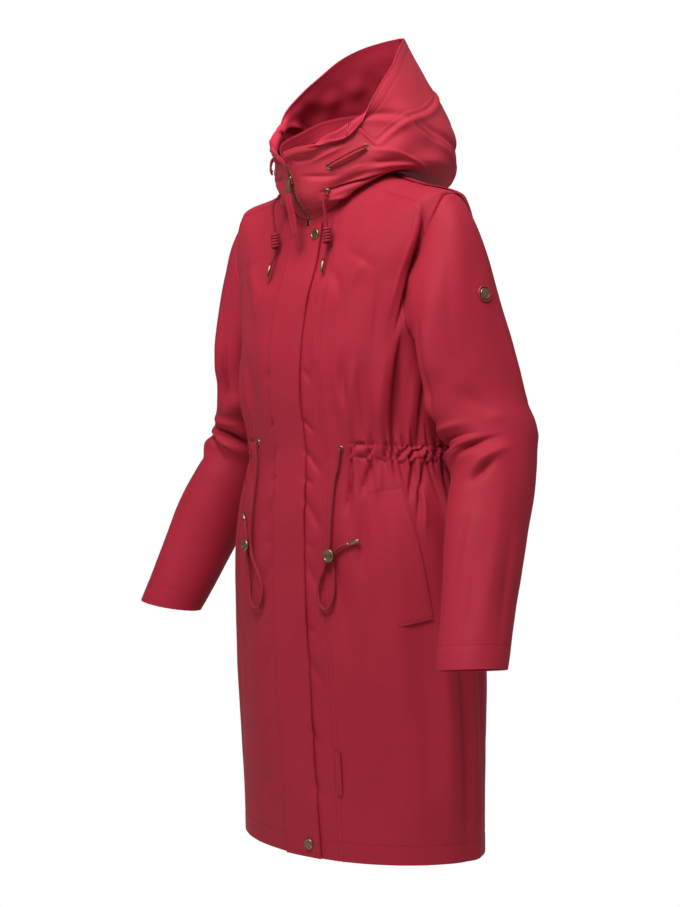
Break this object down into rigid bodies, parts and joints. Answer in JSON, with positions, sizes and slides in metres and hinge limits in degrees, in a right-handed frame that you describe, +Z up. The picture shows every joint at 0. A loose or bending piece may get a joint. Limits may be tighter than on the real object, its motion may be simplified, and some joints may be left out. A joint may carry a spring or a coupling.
{
  "type": "hooded parka",
  "caption": "Women's three-quarter-length hooded parka with a zip, a snapped fly flap, waist and neck drawstrings, slanted welt pockets and a loose back storm flap, hollow as worn.",
  "frame": {"origin": "between the shoulders at the height of the neck points, in the middle of the neck opening, where the wearer carries the coat", "axes": "+X to the wearer's left, +Y to the wearer's back, +Z up; the front faces -Y"},
  "size_m": [0.6852, 0.2874, 1.0891],
  "materials": {
    "shell": "matt woven, dark red",
    "hood": "matt woven, dark red in the light",
    "lining": "matt lining, deep red",
    "cord": "braided cord, dark red",
    "brass": "antique, brushed",
    "chain": "woven tape with an antique metal chain"
  },
  "bodies": {
    "coat": {"back": "shell", "back_storm_flap": "shell", "eyelet_lace_high_left": "brass", "eyelet_lace_high_right": "brass", "eyelet_lace_low_left": "brass", "eyelet_lace_low_right": "brass", "eyelet_neck_left": "brass", "eyelet_neck_right": "brass", "eyelet_waist_left": "brass", "eyelet_waist_right": "brass", "fly_flap": "shell", "front_band_left": "shell", "front_left": "shell", "front_right": "shell", "hood_brim": "hood", "hood_centre": "hood", "hood_side_left": "hood", "hood_side_right": "hood", "neck_cord_left": "cord", "neck_cord_right": "cord", "neck_knot_left": "cord", "neck_knot_right": "cord", "neck_lace_lower_left": "cord", "neck_lace_lower_right": "cord", "neck_lace_upper_left": "cord", "neck_lace_upper_right": "cord", "neck_tip_left": "brass", "neck_tip_right": "brass", "pocket_welt_left": "shell", "pocket_welt_right": "shell", "side_tag": "cord", "sleeve_badge": "brass", "sleeve_badge_ring": "cord", "sleeve_left": "shell", "sleeve_right": "shell", "snap_bottom": "brass", "snap_top": "brass", "stand_collar": "lining", "waist_cord_left": "cord", "waist_cord_right": "cord", "waist_lock_left": "brass", "waist_lock_right": "brass", "waist_tip_left": "brass", "waist_tip_right": "brass", "yoke_front_left": "shell", "yoke_front_right": "shell", "zip_slider": "brass", "zip_tape": "chain"},
    "zip_pull": {"zip_pull_tab": "brass", "zip_pull_bar": "brass", "zip_pull_ribbon": "shell"}
  },
  "joints": [
    {"name": "pull_hinge", "type": "hinge", "parent": "coat", "child": "zip_pull", "pos_m": [0, -0.0997, -0.0079], "axis": [-1, 0, 0], "range_deg": [0, 90]}
  ]
}
